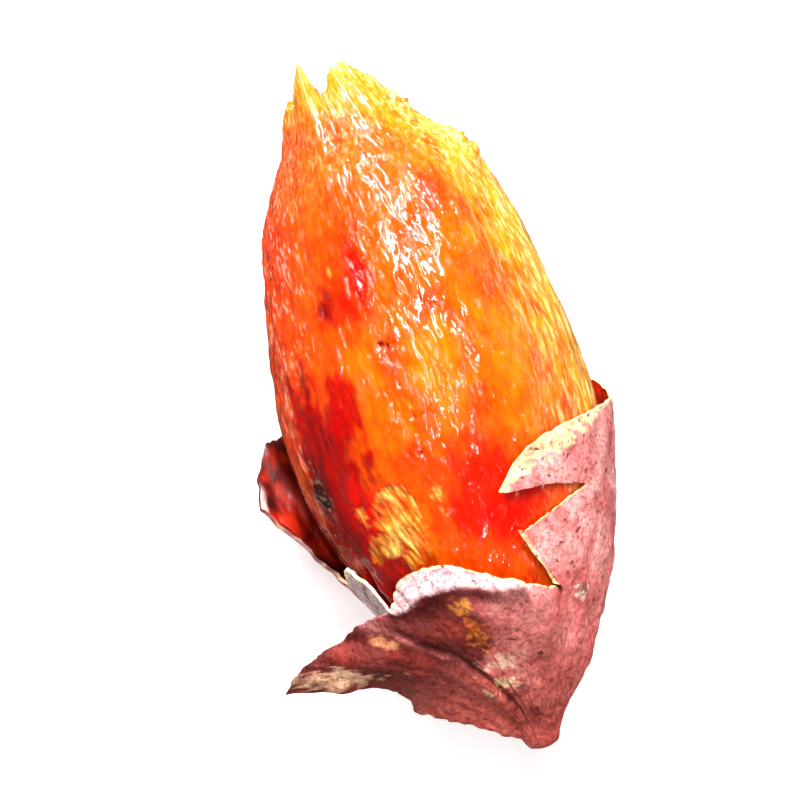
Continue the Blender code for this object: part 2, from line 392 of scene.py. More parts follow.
# dry, leathery outside of the skin
def makeDrySkin():
    material, tree, surface = startMaterial("drySkin")
    plain = stretchedPlace(tree, (1.0, 1.0, 1.0))
    grain = noiseNode(tree, plain, 1100.0, 5.0, 0.65, 0.2)
    blotch = noiseNode(tree, plain, 170.0, 6.0, 0.7, 0.5)
    wrinkles = noiseNode(tree, stretchedPlace(tree, (1.0, 0.6, 1.0)), 420.0, 5.0, 0.6, 0.8)
    specks = noiseNode(tree, plain, 620.0, 2.0, 0.5, 0.0)
    painted = colourFrom(tree, "outsideColour")
    places = (0.34, 0.5, 0.68)
    toned = tintBy(tree, painted, 0.85, blotch, places, (0.55, 0.36, 0.36), (1.3, 1.45, 1.45))
    toned = tintBy(tree, toned, 0.8, grain, places, (0.5, 0.3, 0.32), (1.3, 1.4, 1.4))
    speckShare = rampNode(tree, specks, [(0.30, (0.9, 0.9, 0.9)), (0.37, (0.0, 0.0, 0.0))])
    toned = mixNode(tree, "MIX", speckShare, toned, (0.16, 0.02, 0.02))
    tree.links.new(toned, surface.inputs["Base Color"])
    setInputs(surface, Roughness=0.5, Specular_IOR_Level=0.15)
    leather = crumpledHeight(tree, (1.0, 0.6, 1.0), 300.0, 0.35)
    bumpChain(tree, surface, [(leather, 1.0, 0.9), (wrinkles, 1.0 * mm, 0.9), (grain, 0.25 * mm, 0.9)])
    return material


# the skin's inner face, brown and sticky with syrup
def makeSkinInside():
    material, tree, surface = startMaterial("skinInside")
    plain = stretchedPlace(tree, (1.0, 1.0, 1.0))
    grain = noiseNode(tree, plain, 520.0, 5.0, 0.6, 0.5)
    patches = noiseNode(tree, stretchedPlace(tree, (1.0, 0.5, 1.0)), 170.0, 4.0, 0.6, 0.8)
    painted = colourFrom(tree, "insideColour")
    toned = tintBy(tree, painted, 0.85, patches, (0.38, 0.55, 0.75), (0.45, 0.25, 0.22), (1.25, 1.1, 0.9))
    tree.links.new(toned, surface.inputs["Base Color"])
    setInputs(surface, Roughness=0.34, Coat_Weight=0.4, Coat_Roughness=0.15)
    bumpChain(tree, surface, [(patches, 0.5 * mm, 0.5), (grain, 0.25 * mm, 0.6)])
    return material


# the torn edge, where the pale layer under the skin shows
def makeTornEdge():
    material, tree, surface = startMaterial("tornEdge")
    plain = stretchedPlace(tree, (1.0, 1.0, 1.0))
    grain = noiseNode(tree, plain, 900.0, 4.0, 0.6, 0.3)
    painted = colourFrom(tree, "edgeColour")
    grainTone = rampNode(tree, grain, [(0.35, (0.7, 0.55, 0.45)), (0.6, (1.0, 1.0, 1.0))])
    tree.links.new(mixNode(tree, "MULTIPLY", 0.6, painted, grainTone), surface.inputs["Base Color"])
    setInputs(surface, Roughness=0.5)
    bumpChain(tree, surface, [(grain, 0.2 * mm, 0.6)])
    return material


flesh = {
    "columns": 400,
    "rings": 236,
    "endRings": 22,  # of the rings, those inside the torn end
    "frontFiner": 0.38,  # how much closer the columns lie at the front
    "hiddenTo": (0.10, 0.16),  # share of the rings spent up to a share of the length that the skin covers
    "dish": 5 * mm,  # the hollow inside the torn end
    "tipWall": 2.0 * mm,
    "tint": 0.62,  # darkens the painted colours, which are as they look in strong light
    "cover": 92 * mm,  # up to here the skin lies under it
    "coverFade": 6 * mm,
    "under": 1.35 * mm,  # room for the skin under it
    # torn tips: left foot, point and right foot in degrees, then height in millimetres
    "tips": [
        (-54, -24, -9, 9.2),
        (-8, 31, 78, 6.6),
        (4, 15, 22, 2.4),
        (70, 96, 126, 2.5),
        (130, 158, 186, 3.0),
        (206, 236, 262, 2.2),
    ],
    # dents and lumps: where, how wide in millimetres, and how deep (a lump is negative)
    "dents": [
        {"angle": -36, "height": 106, "across": 5.2, "along": 6.4, "depth": 1.0},
        {"angle": -10, "height": 141.7, "across": 1.6, "along": 3.6, "depth": 0.7},
        {"angle": -16, "height": 113, "across": 3.2, "along": 6.5, "depth": 0.6},
        {"angle": -12.5, "height": 94, "across": 3.8, "along": 1.1, "depth": 0.9, "lean": 0.5},
        {"angle": -57, "height": 104, "across": 1.8, "along": 30, "depth": 0.8},
        {"angle": -9.6, "height": 78, "across": 1.1, "along": 1.1, "depth": 0.6},
        {"angle": -10.8, "height": 70, "across": 1.2, "along": 1.0, "depth": 0.6},
        {"angle": 22, "height": 112, "across": 7, "along": 16, "depth": -0.5},
        {"angle": 2, "height": 126, "across": 6, "along": 10, "depth": -0.5},
        {"angle": -30, "height": 60, "across": 9, "along": 12, "depth": 0.7},
        {"angle": 17, "height": 60, "across": 9, "along": 11, "depth": 0.5},
        {"angle": -48, "height": 88, "across": 5, "along": 14, "depth": 0.5},
        {"angle": -63, "height": 67, "across": 2.6, "along": 3.6, "depth": -0.5},
    ],
    # relief: each layer's height and the size of its lumps
    "lumps": (0.45 * mm, (16 * mm, 26 * mm, 16 * mm)),
    "film": (0.20 * mm, (3.4 * mm, 7 * mm, 3.4 * mm)),
    "creases": (0.16 * mm, (2.8 * mm, 8 * mm, 2.8 * mm)),
    "grain": (0.08 * mm, (1.1 * mm, 2.4 * mm, 1.1 * mm)),
    "tabs": (1.8 * mm, (1.6 * mm, 2.6 * mm, 1.6 * mm)),
    "tornFibres": (0.5 * mm, (1.0 * mm, 3 * mm, 1.0 * mm)),
    "sideRidges": (2.2 * mm, 30 * mm, 2.2 * mm),
    "ridgeHeights": (0.6 * mm, 0.3 * mm, 0.3 * mm),  # on the left, on the right and at the back
    "warp": (1.2 * mm, (9 * mm,) * 3),
    "lively": {"angle": 6, "height": 118, "across": 18, "along": 34},  # where the film is livelier
    "bareFrom": 28 * mm,  # below this the skin lies close and the relief fades
}


def fleshShape():
    columns, rings = flesh["columns"], flesh["rings"]
    piece, column, ring = startFromSphere("peeled_flesh", columns, rings)
    turn = (column / columns * 2 * math.pi + math.pi) % (2 * math.pi) - math.pi
    angle = turn - flesh["frontFiner"] * np.sin(turn)
    rimRing = rings - flesh["endRings"]
    share = np.clip(ring / rimRing, 0, 1)
    hiddenRings, hiddenShare = flesh["hiddenTo"]
    low = hiddenShare * share / hiddenRings
    high = hiddenShare + (1 - hiddenShare) * (share - hiddenRings) / (1 - hiddenRings)
    height = root["length"] * np.where(share < hiddenRings, low, high)

    degrees = np.degrees(angle)
    rise = np.zeros(len(angle))
    for left, point, right, top in flesh["tips"]:
        past = (degrees - point + 180) % 360 - 180
        foot = np.where(past < 0, left - point, right - point)
        rise += top * mm * np.clip(1 - past / foot, 0, 1) ** 0.95
    edge = np.stack([np.cos(angle) * 8, np.sin(angle) * 8, np.zeros(len(angle))], axis=1)
    rise += 0.7 * mm * noiseAt(edge, (1.1, 1.1, 1.1), 3, 4) + 0.3 * mm

    points = rootPoint(angle, height)
    points[:, 1] += rise * ease((share - 0.90) / 0.10)
    rim = rootPoint(angle, np.full(len(angle), root["length"]))
    endMiddle = np.array([rootSection(np.array([root["length"]]))[0][0], 0, root["axisHeight"]])
    inward = np.clip((ring - rimRing) / flesh["endRings"], 0, 1)
    spoke = rim - endMiddle
    spoke[:, 1] = 0
    reach = np.linalg.norm(spoke, axis=1)
    wallShare = 1 - flesh["tipWall"] / reach
    left = np.where(inward < 0.2, 1 - (1 - wallShare) * inward / 0.2, wallShare * (1 - inward) / 0.8)
    inner = endMiddle + spoke * left[:, None]
    inner[:, 1] = rim[:, 1] + rise * (1 - ease(inward / 0.3)) - flesh["dish"] * ease((inward - 0.05) / 0.4)
    inner[:, 1] += 0.5 * mm * noiseAt(inner, (3 * mm,) * 3, 5) * ease(inward / 0.3)
    points = np.where((ring > rimRing)[:, None], inner, points)

    lowest = flesh["under"] * ease((flesh["cover"] - height) / flesh["coverFade"] + 1)
    lowest = np.where(ring > rimRing, 0, lowest)
    points[:, 2] = np.maximum(points[:, 2], lowest)
    writeCoords(piece.data, points)
    return piece, angle, height, ring > rimRing


# the torn fibrous patch, the charred scab and the torn tabs on the right, each a spot
fibrePatch = {
    "angle": -31, "height": 57, "across": 9.5, "along": 9.5, "lean": -0.3, "soft": 0.3, "ragged": 0.7,
}
charSpot = {"angle": -61, "height": 67.5, "across": 3.2, "along": 4.0, "soft": 0.5, "ragged": 0.8}
sideTabs = [
    {"angle": 72, "height": 131, "across": 2.6, "along": 7, "soft": 0.5, "ragged": 0.9},
    {"angle": 66, "height": 143, "across": 2.4, "along": 4.5, "soft": 0.5, "ragged": 0.9},
]


# film wrinkles, long ridges at the sides, dents, the fibrous patch, the scab and the torn end's fibres
def fleshRelief(points, angle, height, inside):
    degrees = np.degrees(angle)
    warped = points + np.stack([lumpsAt(points, flesh["warp"], seed) for seed in (11, 12, 13)], axis=1)
    relief = lumpsAt(points, flesh["lumps"], 1)
    relief += lumpsAt(warped, flesh["film"], 2) * (1 + 0.4 * nearSpot(angle, height, flesh["lively"], 0))
    creaseDepth, creaseSize = flesh["creases"]
    relief -= creaseDepth * creasesAt(warped, creaseSize, 6, 4.5)
    relief += lumpsAt(warped, flesh["grain"], 4)

    leftSide = ease((-degrees - 42) / 20) * ease((125 + degrees) / 30)
    rightSide = ease((degrees - 28) / 25) * ease((130 - degrees) / 30)
    back = ease((np.abs(degrees) - 100) / 30)
    left, right, behind = flesh["ridgeHeights"]
    ridges = noiseAt(warped, flesh["sideRidges"], 7, 2)
    relief += ridges * (left * leftSide + right * rightSide + behind * back)

    wobble = noiseAt(points, (4 * mm,) * 3, 8)
    for dent in flesh["dents"]:
        relief -= dent["depth"] * mm * nearSpot(angle, height, {**dent, "soft": 1.0, "ragged": 0.35}, wobble)
    patch = nearSpot(angle, height, fibrePatch, wobble)
    relief += patch * 0.5 * mm * fibresAt(points, 9)
    crust = nearSpot(angle, height, charSpot, wobble)
    relief += crust * 0.5 * mm * np.abs(noiseAt(points, (0.9 * mm,) * 3, 10, 2))
    tabs = sum(nearSpot(angle, height, tab, wobble) for tab in sideTabs)
    relief += tabs * (0.9 * mm + lumpsAt(points, flesh["tabs"], 15))
    relief += inside * lumpsAt(points, flesh["tornFibres"], 16)
    bare = ease((height - flesh["bareFrom"]) / (10 * mm))
    return relief * bare, patch, crust


# torn strands that run down the root and lean to the right
def fibresAt(points, seed):
    along = points @ np.array([0.317, -0.948, 0.0])
    across = points @ np.array([0.948, 0.317, 0.0])
    strands = np.stack([across, along * 0.1, points[:, 2]], axis=1)
    return noiseAt(strands, (0.5 * mm, 0.5 * mm, 1.5 * mm), seed, 4)


# a stain's place on the flesh, in this order; where the last is left out it is nearSpot's own
stainParts = ("angle", "height", "across", "along", "soft", "ragged")
# colour stains, laid over one another: the place, the colour and how strong it is
fleshStains = [
    # the broad cooked tones
    ((66, 100, 17, 80, 0.9), (248, 150, 6), 0.92),
    ((56, 128, 9, 24, 0.9), (246, 150, 10), 0.8),
    ((82, 110, 12, 66, 0.9), (246, 178, 48), 0.85),
    ((-66, 118, 16, 48, 0.9), (250, 62, 4), 0.85),
    ((24, 150, 12, 8, 0.9), (248, 140, 8), 0.6),
    ((-22, 118, 10, 22, 0.9), (252, 70, 0), 0.75),
    ((4, 86, 13, 16, 0.9), (255, 132, 0), 0.7),
    ((30, 80, 10, 22, 0.9), (255, 128, 0), 0.7),
    ((-22, 92, 7, 9, 0.8), (255, 122, 0), 0.6),
    # syrup, from red to nearly black
    ((8, 58, 14, 18, 0.7), (246, 16, 0), 0.92),
    ((13, 50, 7, 8, 0.7), (228, 0, 0), 0.9),
    ((26, 54, 9, 9, 0.8), (226, 8, 0), 0.85),
    ((-4, 43, 12, 6, 0.8), (244, 70, 0), 0.85),
    ((-52, 66, 13.5, 34, 0.4), (172, 0, 0), 0.98),
    ((-40, 62, 7, 9, 0.7), (232, 14, 0), 0.9),
    ((-36, 85, 5.5, 10, 0.4), (190, 0, 0), 0.95),
    ((-44, 46, 11, 9, 0.6), (196, 12, 0), 0.9),
    ((-60, 64, 8, 19, 0.7), (150, 0, 0), 0.9),
    ((-86, 58, 9, 22, 0.7), (150, 0, 0), 0.95),
    ((-26, 107, 8, 15, 0.9), (250, 34, 0), 0.75),
    ((-53, 86, 2.6, 13, 0.8), (140, 2, 0), 0.8),
    ((-17, 112, 3.6, 14, 0.8), (246, 4, 0), 0.9),
    ((-25, 105, 8, 6, 0.9), (240, 8, 0), 0.85),
    ((-10, 141.7, 1.6, 4.4, 0.8), (214, 34, 0), 0.8),
    ((-36, 105, 5.4, 6.4, 0.9), (168, 4, 0), 0.95),
    ((-38, 106, 3.0, 3.8, 1.0), (124, 6, 0), 0.8),
    # small marks
    ((-29.6, 113, 0.9, 1.9, 1.0), (255, 190, 60), 0.8),
    ((-14.2, 94.8, 1.5, 0.8, 0.6, 0.4), (50, 6, 2), 0.95),
    ((-11.6, 93.8, 0.7, 1.6, 0.6, 0.4), (60, 6, 2), 0.9),
    ((-56.5, 117, 0.9, 0.9, 0.8), (110, 40, 8), 0.8),
    ((-86, 121.5, 0.9, 0.9, 0.8), (90, 30, 8), 0.8),
    ((-9.6, 78, 1.0, 1.0, 0.8), (180, 40, 0), 0.8),
    ((-10.8, 70, 1.1, 0.9, 0.8), (190, 44, 0), 0.8),
    ((-9.5, 149.3, 0.8, 0.8, 0.8), (60, 20, 6), 0.9),
]

fleshColours = {
    "plain": (255, 98, 0),
    "redder": (253, 68, 0),
    "back": (244, 118, 8),
    "patch": (250, 124, 10),
    "fibre": (255, 216, 104),
    "top": (244, 150, 8),
    "tip": (250, 200, 76),
    "inside": (236, 128, 10),
    "tornFibre": (255, 206, 92),
    # painted highlight: the glints along the left side's ridges
    "paintedGlint": (255, 208, 176),
    "char": (36, 12, 10),
    "ash": (214, 150, 120),
}


def paintFlesh(points, angle, height, patch, crust, inside):
    degrees = np.degrees(angle)
    rise = points[:, 1] - root["tailY"]
    wobble = noiseAt(points, (7 * mm, 11 * mm, 7 * mm), 21, 4)
    fine = noiseAt(points, (2.2 * mm, 5 * mm, 2.2 * mm), 22, 4)
    colours = layNamed(tone(*fleshColours["plain"]), fleshColours, {
        "redder": ease(wobble * 0.9 + 0.4),
        "back": ease((np.abs(degrees) - 95) / 40) * 0.8,
    })
    for place, colour, strength in fleshStains:
        share = nearSpot(angle, height, dict(zip(stainParts, place)), wobble * 0.6 + fine * 0.45)
        colours = layOver(colours, tone(*colour), share * strength)

    strands = ease(fibresAt(points, 23) * 1.6 + 0.4)
    patchTone = layNamed(tone(*fleshColours["patch"]), fleshColours, {"fibre": strands})
    colours = layOver(colours, patchTone, patch * ease(0.85 + fine))
    tornFibres = ease(noiseAt(points, (0.8 * mm, 3 * mm, 0.8 * mm), 27, 4) * 1.6 + 0.4)

    # painted highlights: pale streaks down the left side stand in for the glints on its ridges, further round
    # it where the syrup is dark
    startsAt = 36 + 18 * ease((100 * mm - height) / (12 * mm))
    left = ease((-degrees - startsAt) / 14) * ease((104 + degrees) / 30)
    left *= ease((height - 40 * mm) / (10 * mm))
    wander = points + 0.6 * mm * np.stack([wobble, np.zeros(len(points)), fine], axis=1)
    streaks = creasesAt(wander, (1.5 * mm, 30 * mm, 1.5 * mm), 25, 9) * ease(0.6 + 1.1 * fine)
    colours = layNamed(colours, fleshColours, {
        "top": ease((rise - 143 * mm) / (9 * mm)) * 0.9,
        "tip": ease((rise - 152 * mm) / (6 * mm)) * 0.7,
        "inside": inside * 0.85,
        "tornFibre": inside * 0.6 * tornFibres,
        "paintedGlint": left * streaks * 0.8,
        "char": crust * ease(1.1 + wobble + fine),
        "ash": crust * ease(noiseAt(points, (0.6 * mm,) * 3, 26, 2) * 3 - 0.6) * 0.8,
    })
    return colours * flesh["tint"]


def makeFlesh(wetFlesh):
    piece, angle, height, inside = fleshShape()
    points = readCoords(piece.data)
    relief, patch, crust = fleshRelief(points, angle, height, inside)
    points = points + readNormals(piece.data) * relief[:, None]
    points[:, 2] = np.maximum(points[:, 2], 0.2 * mm)
    writeCoords(piece.data, points)
    writeColours(piece.data, "fleshColour", paintFlesh(points, angle, height, patch, crust, inside))
    degrees = np.degrees(angle)
    dry = 0.8 * ease((degrees - 40) / 40) + 0.5 * patch + 0.6 * crust
    dry += 0.25 * noiseAt(points, (6 * mm,) * 3, 24)
    writeValues(piece.data, "fleshDry", np.clip(dry, 0, 1))
    # where the pale flecks lie, on the right side and towards the top: partly cream fibre, partly painted
    # highlight
    pale = ease((degrees - 26) / 50) * ease((128 - degrees) / 50)
    pale += 0.25 * ease((height - 120 * mm) / (25 * mm))
    writeValues(piece.data, "paleFleckGlints", np.clip(pale, 0, 1))
    bpy.ops.object.shade_smooth()
    finishPiece(piece, wetFlesh, "flesh")
    print("flesh made:", len(piece.data.polygons), "faces")


skin = {
    "perPoint": 10,  # columns between two points of the torn rim
    "rings": 108,
    "gap": 0.35 * mm,
    "wall": 0.75 * mm,
    "tailCap": 0.5 * mm,
    "tailStep": 4 * mm,
    "tint": 0.84,
    "ringPower": 1.7,  # crowds the rings towards the tail
    "foldPlace": 0.90,
    "foldReach": 0.30,
    "turnPower": 0.7,  # goes with each flap's own
    "hingeAt": 338.5,  # start angle of the strip along which the long flap hinges
    # relief: each layer's height and the size of its lumps
    "swells": (0.3 * mm, (7 * mm, 11 * mm, 7 * mm)),
    "creases": (0.35 * mm, (5 * mm, 8 * mm, 5 * mm)),
    "grain": (0.14 * mm, (1.8 * mm,) * 3),
    "looseWaves": (0.6 * mm, (9 * mm,) * 3),
    "tailFolds": 0.5 * mm,
    "bandRoll": 0.9 * mm,
    "hingeDepth": 0.6 * mm,
    # each flap: height at which it leaves the flesh, how late its strips turn sideways, how far its fold
    # stands out, then its rim: start angle, end angle, height, stand-off, width of the pale edge, how late
    # it bows out, and 1 at a corner
    "flaps": {
        "middle": (22, 9, 0.0, [
            (31, 29, 33.0, 0.6, 0.3, 1.4, 1),
            (42, 20, 40.0, 1.6, 0.4, 1.4, 0),
            (52, 15, 46.3, 2.2, 0.6, 1.4, 1),
        ]),
        "upper": (34, 5, 0.0, [
            (61, 12, 56.7, 1.2, 0.8, 1.4, 1),
            (67, 27, 63.8, 1.0, 5.0, 1.4, 0),
            (74, 48, 66.3, 1.0, 3.4, 1.4, 0),
            (83, 70, 67.2, 1.4, 1.0, 1.4, 0),
            (93, 90, 68.4, 3.0, 0.8, 1.4, 1),
        ]),
        "back": (40, 3, 0.0, [
            (106, 106, 72.0, 3.0, 1.0, 1.4, 0),
            (125, 125, 79.0, 1.4, 1.0, 1.4, 0),
            (150, 150, 86.0, 0.5, 1.0, 1.4, 0),
            (175, 175, 90.0, 0.2, 1.0, 1.4, 0),
            (200, 200, 85.0, 0.4, 1.0, 1.4, 0),
        ]),
        "left": (34, 3, 0.0, [
            (219, 221, 87.0, 1.6, 1.0, 1.4, 0),
            (230, 240, 83.0, 4.0, 1.0, 1.4, 0),
            (236, 255, 82.5, 5.2, -1.0, 1.4, 1),
            (241, 257, 75.0, 9.2, -0.5, 1.4, 0),
            (245, 261, 68.5, 10.5, 1.4, 1.4, 1),
            (249, 264, 58.5, 5.4, -1.0, 1.4, 0),
            (253, 267, 51.0, 2.6, -1.0, 1.4, 0),
        ]),
        "strip": (26, 5, 0.0, [
            (257, 279, 47.5, 1.4, 1.0, 1.4, 0),
            (260, 290, 51.0, 1.0, 1.6, 1.4, 1),
            (264, 299, 44.5, 0.7, 0.6, 1.4, 0),
            (268, 297, 36.0, 0.7, 0.6, 1.4, 0),
            (272, 282, 22.0, 1.2, 0.6, 1.4, 0),
        ]),
        "slit": (4.5, 4, 0.0, [(278, 278, 13.6, 1.5, 0.4, 1.4, 0), (285, 284, 10.2, 2.2, 0.3, 1.4, 1)]),
        "long": (3.0, 4, 0.0, [
            (296, 269, 16.0, 11.0, -1.0, 0.8, 1),
            (301, 271, 19.4, 9.2, -1.0, 1.0, 0),
            (306, 273, 23.2, 10.8, -1.0, 1.7, 0),
            (311, 276, 26.6, 18.6, -1.0, 2.8, 0),
            (316, 278, 28.8, 30.2, -1.0, 3.6, 1),
            (321, 283, 32.2, 25.5, -1.0, 3.0, 0),
            (326, 288, 34.6, 20.5, -1.0, 2.4, 0),
            (332, 295, 36.8, 13.5, -1.0, 2.0, 0),
        ]),
        "front": (12, 3, 4.6, [
            (338, 305, 39.2, 6.0, -1.0, 1.8, 0),
            (343, 316, 40.0, 2.6, 0.2, 1.4, 1),
            (347, 321, 43.5, 1.0, 0.2, 1.4, 0),
            (350, 331, 46.3, 0.8, 0.2, 1.4, 0),
            (354, 342, 46.0, 0.8, 0.2, 1.4, 0),
            (362, 357, 40.8, 0.8, 0.2, 1.4, 0),
            (376, 374, 35.6, 0.8, 0.3, 1.4, 0),
        ]),
    },
    # the pale band rolled out below the front rim: start angles of its strips, and its width
    "bandAt": (341, 344, 347, 350, 354, 358, 362, 370, 376),
    "bandWidth": (0.0, 2.8, 5.0, 6.4, 6.0, 4.8, 3.4, 1.5, 0.0),
    # the sideways tear between the middle and upper flaps: angle and height of its corners
    "tear": [(8, 45.2), (36, 49.4), (60, 52.2), (34, 55.2), (10, 56.3), (-6, 57.5)],
}

# marks on the outside of the skin: angle and height where they lie, sizes in millimetres
skinMarks = [
    {"angle": 342.5, "height": 30.5, "across": 1.5, "along": 6.0, "colour": (214, 112, 40), "ragged": 1.4},
    {"angle": 344, "height": 35.5, "across": 1.6, "along": 2.0, "colour": (214, 130, 60), "ragged": 1.2},
    {"angle": 342, "height": 17.0, "across": 2.0, "along": 2.2, "colour": (244, 216, 168), "ragged": 0.9},
    {"angle": 348, "height": 21.5, "across": 3.4, "along": 2.0, "colour": (228, 178, 152), "ragged": 1.4},
    {"angle": 44, "height": 30.5, "across": 2.0, "along": 1.6, "colour": (226, 196, 176), "ragged": 1.4},
    {"angle": 46, "height": 31.0, "across": 0.9, "along": 0.8, "colour": (96, 30, 26), "ragged": 1.2},
    {"angle": 326, "height": 15.5, "across": 1.0, "along": 1.0, "colour": (236, 206, 160), "ragged": 1.0},
    {"angle": 352, "height": 42.6, "across": 0.8, "along": 0.8, "colour": (120, 16, 26), "ragged": 0.4},
]
# scraped patches on the long flap, by place across and height
longFlapMarks = [
    {"x": -39.0, "height": 28.8, "across": 9.6, "along": 2.3, "lean": 0.24, "colour": (226, 176, 140)},
    {"x": -25.8, "height": 33.2, "across": 2.6, "along": 1.3, "lean": 0.5, "colour": (206, 132, 92)},
]


# every column of the skin, on a smooth curve through the rim's points that keeps its corners
def rimColumns():
    stations = []
    for leave, turn, fold, points in skin["flaps"].values():
        for start, end, height, standOff, pale, bow, corner in points:
            shape = (start, end, height * mm, standOff * mm, leave * mm, turn, fold * mm, pale * mm, bow)
            stations.append(shape + (corner,))
    stations = np.array(stations, dtype=float)
    corner = stations[:, 9] > 0
    values = np.vstack([stations[:, :9], stations[0, :9]])
    values[-1, :2] += 360
    secant = np.diff(values, axis=0)
    before = np.roll(secant, 1, axis=0)
    total = before + secant
    mild = np.where(before * secant > 0, 2 * before * secant / np.where(total == 0, 1, total), 0)
    leaving = np.where(corner[:, None], secant, mild)
    arriving = np.roll(np.where(corner[:, None], before, mild), -1, axis=0)
    place = np.arange(len(stations) * skin["perPoint"]) / skin["perPoint"]
    i = place.astype(int)
    t = (place - i)[:, None]
    curve = (
        (2 * t**3 - 3 * t**2 + 1) * values[i]
        + (t**3 - 2 * t**2 + t) * leaving[i]
        + (3 * t**2 - 2 * t**3) * values[i + 1]
        + (t**3 - t**2) * arriving[i]
    )
    names = ["start", "end", "height", "standOff", "leave", "turn", "fold", "pale", "bow"]
    return {name: curve[:, k] for k, name in enumerate(names)}


def skinShape():
    rim = rimColumns()
    columns = len(rim["start"])
    piece, column, ring = startFromSphere("torn_skin", columns, skin["rings"] + 1)
    ragged = np.stack([np.arange(columns) / 2.3, np.zeros(columns), np.zeros(columns)], axis=1)
    rim["height"] = rim["height"] + 0.45 * mm * noiseAt(ragged, (1, 1, 1), 31, 4)
    at = {name: values[column] for name, values in rim.items()}
    share = ring / skin["rings"]
    here = skin["tailStep"] * share + (at["height"] - skin["tailStep"]) * share ** skin["ringPower"]
    turned = (here / at["height"]) ** (at["turn"] * skin["turnPower"])
    angle = np.radians(at["start"] + (at["end"] - at["start"]) * turned)
    leave = np.minimum(at["leave"], at["height"] * 0.6)
    lift = at["standOff"] * np.clip((here - leave) / (at["height"] - leave), 0, None) ** at["bow"]
    lift += at["fold"] * ease(1 - np.abs(share - skin["foldPlace"]) / skin["foldReach"])
    points = rootPoint(angle, here, skin["gap"] + skin["wall"] + np.maximum(lift, 0))
    points[:, 1] -= skin["tailCap"] * (1 - share) ** 4
    pole = ring == 0
    points[pole] = (rootSection(np.zeros(1))[0][0], root["tailY"] - skin["tailCap"], root["axisHeight"])
    points[:, 2] = np.maximum(points[:, 2], 0)
    writeCoords(piece.data, points)
    rimPoints = np.zeros((columns, 3))
    rimPoints[column[ring == skin["rings"]]] = points[ring == skin["rings"]]
    toRim = np.linalg.norm(points - rimPoints[column], axis=1)
    facts = {
        "angle": angle,
        "height": here,
        "lift": lift,
        "toRim": toRim,
        "pale": at["pale"],
        "start": at["start"],
        "band": np.interp(at["start"], skin["bandAt"], np.array(skin["bandWidth"]) * mm),
    }
    return piece, column, ring, facts


def insidePolygon(points, corners):
    inside = np.zeros(len(points), dtype=bool)
    for (ax, ay), (bx, by) in zip(corners, np.roll(corners, -1, axis=0)):
        crosses = (ay > points[:, 1]) != (by > points[:, 1])
        slope = (bx - ax) / np.where(by == ay, 1e-12, by - ay)
        inside ^= crosses & (points[:, 0] < slope * (points[:, 1] - ay) + ax)
    return inside


def nearestOnOutline(points, corners):
    best = np.full(len(points), np.inf)
    nearest = points.copy()
    for a, b in zip(corners, np.roll(corners, -1, axis=0)):
        t = np.clip(((points - a) @ (b - a)) / ((b - a) @ (b - a)), 0, 1)
        onLine = a + t[:, None] * (b - a)
        far = np.linalg.norm(points - onLine, axis=1)
        closer = far < best
        best = np.where(closer, far, best)
        nearest = np.where(closer[:, None], onLine, nearest)
    return nearest, best


# opens the sideways tear: takes away the faces inside it, then brings its stepped border onto the tear's line
def openTear(mesh):
    tear = np.array(skin["tear"], dtype=float)
    corners = rootPoint(np.radians(tear[:, 0]), tear[:, 1] * mm)[:, :2]
    centres = np.empty(len(mesh.polygons) * 3)
    mesh.polygons.foreach_get("center", centres)
    centres = centres.reshape(-1, 3)
    deleteParts(mesh, "FACE", insidePolygon(centres[:, :2], corners) & (centres[:, 2] > root["axisHeight"]))
    uses = {}
    for face in mesh.polygons:
        for key in face.edge_keys:
            uses[key] = uses.get(key, 0) + 1
    border = np.array(sorted({end for key, count in uses.items() if count == 1 for end in key}))
    toRim = np.empty(len(mesh.vertices))
    mesh.attributes["toRim"].data.foreach_get("value", toRim)
    points = readCoords(mesh)
    normals = readNormals(mesh)
    border = border[(toRim[border] > 0.05 * mm) & (points[border, 2] > root["axisHeight"])]
    target, far = nearestOnOutline(points[border, :2], corners)
    border, target = border[far < 1.6 * mm], target[far < 1.6 * mm]
    shift = target - points[border, :2]
    ragged = [noiseAt(points[border], (1.5 * mm,) * 3, seed, 4) for seed in (36, 37)]
    shift += 0.25 * mm * np.stack(ragged, axis=1)
    points[border, :2] += shift
    points[border, 2] -= (normals[border, :2] * shift).sum(axis=1) / normals[border, 2]
    writeCoords(mesh, points)


# 1 on the strips between two start angles, fading out over some degrees at each end
def stripsBetween(start, first, last, fadeIn, fadeOut):
    return ease((start - first) / fadeIn) * ease((last - start) / fadeOut)


# creases, grain, folds drawn together at the tail, the band's rolled edge and the long flap's hinge
def skinRelief(points, facts):
    start, height, toRim, band = (facts[name] for name in ("start", "height", "toRim", "band"))
    creaseDepth, creaseSize = skin["creases"]
    relief = lumpsAt(points, skin["swells"], 32)
    relief -= creaseDepth * creasesAt(points, creaseSize, 33)
    relief += lumpsAt(points, skin["grain"], 34)
    girth = np.stack([np.cos(facts["angle"]), np.sin(facts["angle"]), height / (60 * mm)], axis=1)
    folds = np.clip(1 - np.abs(noiseAt(girth, (0.16, 0.16, 0.5), 38, 2)) * 3, 0, 1)
    relief += skin["tailFolds"] * folds * ease((46 * mm - height) / (24 * mm))
    relief += ease(facts["lift"] / (4 * mm)) * lumpsAt(points, skin["looseWaves"], 35)
    relief += skin["bandRoll"] * np.exp(-(((toRim - band) / (1.6 * mm)) ** 2)) * (band > 1 * mm)
    hinge = np.exp(-(((start - skin["hingeAt"]) / 2.2) ** 2)) * ease((38 * mm - height) / (6 * mm))
    relief -= skin["hingeDepth"] * hinge * ease(height / (14 * mm))
    return relief * ease(height / (6 * mm))


